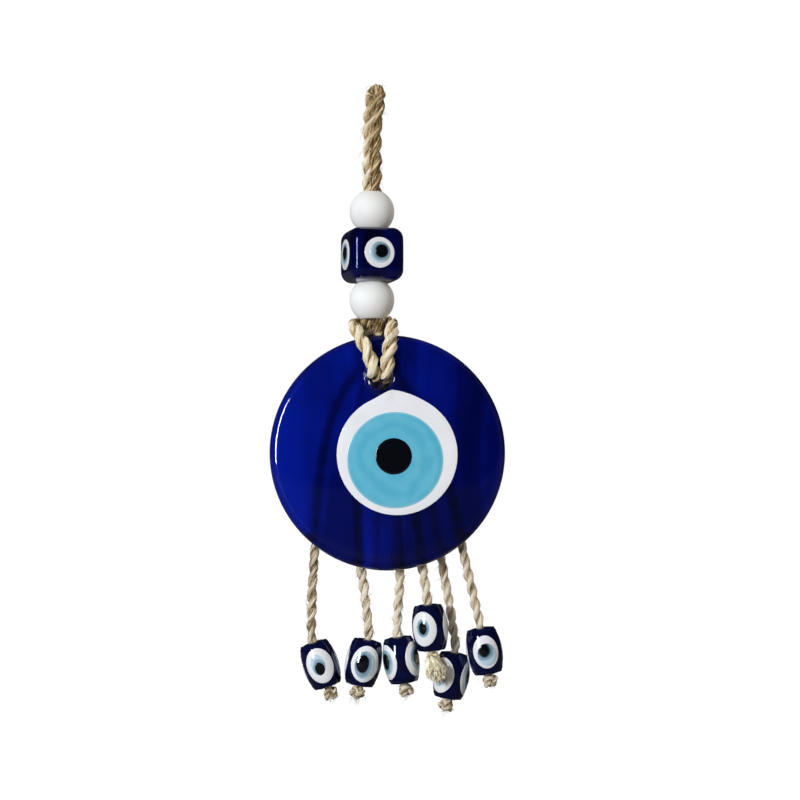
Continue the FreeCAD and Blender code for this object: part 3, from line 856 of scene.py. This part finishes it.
winding_line, winding_along = cord_line(winding_route(), 0.40 * MM)
LOCK_ROUTE = [(7.9, 9.0, -96.0), (8.3, 11.8, -95.8), (5.6, 15.2, -95.0), (1.6, 16.3, -93.2),
              (-2.4, 15.6, -91.0), (-6.3, 12.4, -89.6), (-7.6, 9.6, -89.4)]
lock_line, lock_along = cord_line(LOCK_ROUTE, 0.40 * MM)
winding = laid_rope(winding_line, winding_along, TWINE_DIAMETER, TWINE_LAY, 60, 61, 16)
winding += laid_rope(lock_line, lock_along, TWINE_DIAMETER, TWINE_LAY, 24, 62, 16)
for n, (x, y, drop) in enumerate(((-0.7, 8.8, 108.5), (2.5, 9.2, 106.8))):
    stub_route = [(x + 0.8, y + 1.6, -95.0), (x, y + 0.4, -98.5), (x - 0.3, y - 0.6, -103.0),
                  (x - 0.9, y - 1.6, -drop)]
    stub_line, stub_along = cord_line(stub_route, 0.40 * MM)
    winding += laid_rope(stub_line, stub_along, TWINE_DIAMETER, TWINE_LAY, 24, 63 + n, 16)
    winding += frayed(stub_line[-1], (-0.1, -0.1, -1), 40, 0.3, 4.5 * MM, 66 + n)
binding = mesh_piece("twine_binding", winding, twine_jute)
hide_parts("tassel_knot")
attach(binding, "disc_body")

# ---------------------------------------------------------------- End knots
# Each twine ends in an overhand knot of its own, pulled up under the bead, with a short frayed tail.
# The fourth one's tail was combed out into a brush.
KNOT_SCALE = 0.60
KNOT_POINTS = 30
# For each knot: its tail's number of fibres, how far they spread and their length
TAILS = [(24, 0.45, 3.0), (34, 0.30, 5.5), (24, 0.45, 3.0), (60, 0.60, 6.5), (26, 0.5, 4.0),
         (22, 0.45, 3.5)]


# The fourth knot was combed out into a brush of pale straw-coloured fibre
straw = jute("straw_jute", (1.0, 0.96, 0.78, 1), (0.96, 0.82, 0.52, 1), (0.42, 0.25, 0.07, 1),
             relief=0)


def combed_brush(at, way, length, narrow, wide, count, seed):
    """Straight loose fibres side by side that spread from a knot: pale outside and brown at the core."""
    chance = random.Random(seed)
    way = np.array(way) / np.linalg.norm(way)
    side = np.cross(way, (0, 0, 1))
    side /= np.linalg.norm(side)
    other = np.cross(way, side)
    parts = []
    for _ in range(count):
        share = math.sqrt(chance.random())
        angle = chance.uniform(0, 2 * math.pi)
        out = math.cos(angle) * side + math.sin(angle) * other
        reach = length * (1 - 0.35 * share ** 2) * chance.uniform(0.8, 1.05)
        thickness = chance.uniform(0.19, 0.33) * MM
        rings = []
        for n in range(5):
            far = n / 4
            spread = narrow + (wide - narrow) * far ** 0.8
            middle = np.array(at) + way * reach * far + out * spread * share
            middle += np.array([chance.gauss(0, 0.30) for _ in range(3)]) * MM * far
            width = thickness * (1 - 0.5 * far)
            rings.append([middle + width * (math.cos(a) * side + math.sin(a) * other)
                          for a in (0, 2.09, 4.19)])
        tone = np.full((5, 3), min(1.0, 0.25 + 1.1 * share) * chance.uniform(0.6, 1.0))
        parts.append(grown_tube(np.array(rings), tone, np.linspace(0, reach, 5)))
    return parts


def overhand(scale):
    """Route of a small tight overhand knot about Z, in millimetres."""
    points = []
    for n in range(KNOT_POINTS + 1):
        turn = 2 * math.pi * (n + 0.5) / (KNOT_POINTS + 1)
        points.append((scale * (math.sin(turn) + 2 * math.sin(2 * turn)),
                       scale * (math.cos(turn) - 2 * math.cos(2 * turn)),
                       -scale * 1.5 * math.sin(3 * turn)))
    return points


for number, (tassel, (count, spread, length)) in enumerate(zip(TASSELS, TAILS), 1):
    place = Matrix.Translation(tassel["centre"] - tassel["axis"] * (BARREL_HEIGHT / 2 + 2.5))
    place = place @ Matrix.Rotation(-math.radians(tassel["lean"]), 4, "Y")
    place = place @ Matrix.Rotation(number * 1.3, 4, "Z")
    points = [tuple(place @ Vector(p)) for p in overhand(KNOT_SCALE)]
    line, along = cord_line(points, 0.3 * MM)
    parts = laid_rope(line, along, 2.7 * MM, 6.0 * MM, 26, 70 + number, 16, stain_and_shading=0.08)
    down = -tassel["axis"]
    tail_at = (tassel["centre"] + down * (BARREL_HEIGHT / 2 + 3.6)) * MM
    parts += frayed(tuple(tail_at), tuple(down), count, spread, length * MM, 90 + number)
    if number == 4:
        parts += combed_brush(tail_at + Vector((-0.9, -1.6, 1.4)) * MM, Vector((0.36, -0.52, -0.80)),
                              10.2 * MM, 1.3 * MM, 3.9 * MM, 240, 100)
    knot = mesh_piece(f"overhand_knot_{number}", parts, straw if number == 4 else twine_jute)
    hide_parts(f"end_knot_{number}")
    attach(knot, f"tassel_{number}")

# ---------------------------------------------------------------- Barrel beads
# Six barrel beads of near-black blue glass wound on a rod, which leaves the bore, each with three oval eyes
# of white, grey-blue and black glass dropped on round it by hand, no two quite alike.
BARREL_RADIUS = 6.3 * MM
BARREL_MOUTH = 4.6 * MM
TWINE_BORE = 1.6 * MM
# For each bead: width and height of the white, the iris and the pupil, each of the last two with its shift
BARREL_EYES = [
    ((9.3, 12.6), (4.9, 7.6, -0.5, 0.5), (3.3, 4.3, -0.3, -0.9)),
    ((9.6, 12.9), (6.9, 9.8, -0.2, -0.3), (4.1, 6.2, -0.9, 0.0)),
    ((9.0, 12.4), (6.4, 8.8, 0.2, 0.0), (3.6, 5.4, 0.2, 0.3)),
    ((9.2, 12.2), (4.8, 6.6, 0.0, 0.4), (2.5, 4.4, 0.1, 0.3)),
    ((9.4, 12.6), (6.0, 8.6, -0.3, 0.2), (3.4, 5.0, -0.4, 0.4)),
    ((8.8, 11.6), (6.6, 7.8, 0.2, -0.9), (3.2, 4.3, -0.6, 0.7)),
]

navy_glass = glass("navy_glass", (0.003, 0.005, 0.042, 1), 0.05, 0.10, gleam=(0.05, 0.08, 0.3, 1))
half = BARREL_HEIGHT / 2 * MM
pole = half / math.sqrt(1 - (BARREL_MOUTH / BARREL_RADIUS) ** 2)
barrel = bored_round("barrel", BARREL_RADIUS, pole, half, TWINE_BORE, 2.1 * MM, 60)
barrel.data.materials.append(navy_glass)
for number, (tassel, eye) in enumerate(zip(TASSELS, BARREL_EYES), 1):
    place = Matrix.Translation(tassel["centre"] * MM)
    place = place @ Matrix.Rotation(-math.radians(tassel["lean"]), 4, "Y")
    place = place @ Matrix.Rotation(math.radians(tassel["facing"]), 4, "Z")
    shapes = [("whites", (*eye[0], 0, 0), 0.10, white_glass, "white_glass"),
              ("irises", eye[1], 0.18, iris_glass, "grey_blue_glass"),
              ("pupils", eye[2], 0.28, black_glass, "black_glass")]
    for part, (width, height, across, up), proud, finish, slot in shapes:
        side = eye_layer(part, barrel, width * MM, height * MM, across * MM, up * MM, proud * MM,
                         (eye[2][2] * MM, eye[2][3] * MM))
        turns = [Matrix.Rotation(n * 2 * math.pi / 3, 4, "Z") for n in range(3)]
        sides = [copy_piece(side, f"{part}_{n}", place @ turn) for n, turn in enumerate(turns)]
        bpy.data.objects.remove(side)
        layer = joined(f"barrel_{number}_{part}", sides, finish)
        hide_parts(f"tassel_bead_{number}_{part}")
        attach(layer, f"bead_{number}")
    bead = copy_piece(barrel, f"barrel_bead_{number}", place)
    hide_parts(f"tassel_bead_{number}")
    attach(bead, f"bead_{number}")
bpy.data.objects.remove(barrel)

# ---------------------------------------------------------------- Studio
# A plain pale floor some way below the ornament, a bright wall-like surround behind it, and soft lights
# from the left, whose reflections run down the left of the glass.
FLOOR_Z = -0.262
floor = start_piece("floor", bpy.ops.mesh.primitive_plane_add, size=60, location=(0, 0, FLOOR_Z))
floor_finish = Finish("floor_paint", Base_Color=(0.08, 0.08, 0.08, 1), Roughness=0.9,
                      Specular_IOR_Level=0.0, Emission_Strength=1.0)
rays = floor_finish.node("ShaderNodeLightPath")
floor_finish.feed(Emission_Color=rays.sibling("Is Camera Ray") * 0.97
                  + rays.sibling("Is Transmission Ray") * 0.93)
floor.data.materials.append(floor_finish.material)


def soft_light(name, place, aim, width, height, power, colour=(1, 1, 1)):
    """A rectangular soft light pointed at a place."""
    data = bpy.data.lights.new(name, "AREA")
    data.shape = "RECTANGLE"
    data.size = width
    data.size_y = height
    data.energy = power
    data.color = colour
    light = bpy.data.objects.new(name, data)
    light.location = place
    light.rotation_euler = (Vector(aim) - Vector(place)).to_track_quat("-Z", "Y").to_euler()
    bpy.context.scene.collection.objects.link(light)
    return light


soft_light("window", (-0.62, -0.88, 0.02), (0, 0, -0.11), 0.20, 0.36, 11.4, (0.95, 0.98, 1.0))
soft_light("low_window", (-0.55, -0.80, -0.55), (0, 0, -0.15), 0.14, 0.10, 1.0, (0.95, 0.98, 1.0))
warm_side = soft_light("warm_side", (0.8, -0.35, -0.1), (0, 0, -0.11), 0.5, 0.7, 2.2, (1.0, 0.86, 0.68))
warm_side.visible_glossy = False

world = bpy.data.worlds.new("surround")
world.use_nodes = True
bpy.context.scene.world = world
surround = Nodes(world.node_tree)
split = surround.node("ShaderNodeSeparateXYZ", {}, {0: surround.node("ShaderNodeTexCoord")})
behind = surround.node("ShaderNodeMapRange", {}, {"Value": split.sibling("Y"), "From Min": -0.1,
                                                  "From Max": 0.5, "To Min": 0.10, "To Max": 1.0})
above = surround.node("ShaderNodeMapRange", {}, {"Value": split.sibling("Z"), "From Min": 0.2,
                                                 "From Max": 1.0, "To Min": 0.0, "To Max": 0.4})
rays = surround.node("ShaderNodeLightPath")
soft = (behind + above) * (1 - rays.sibling("Is Glossy Ray"))
lit = soft.maths("MAXIMUM", soft, behind * rays.sibling("Is Transmission Ray"))
lit = lit.maths("MAXIMUM", lit, rays.sibling("Is Camera Ray"))
lit = lit.maths("MAXIMUM", lit, 0.012)
background = world.node_tree.nodes["Background"]
background.inputs["Color"].default_value = (1, 1, 1, 1)
world.node_tree.links.new(lit.socket, background.inputs["Strength"])
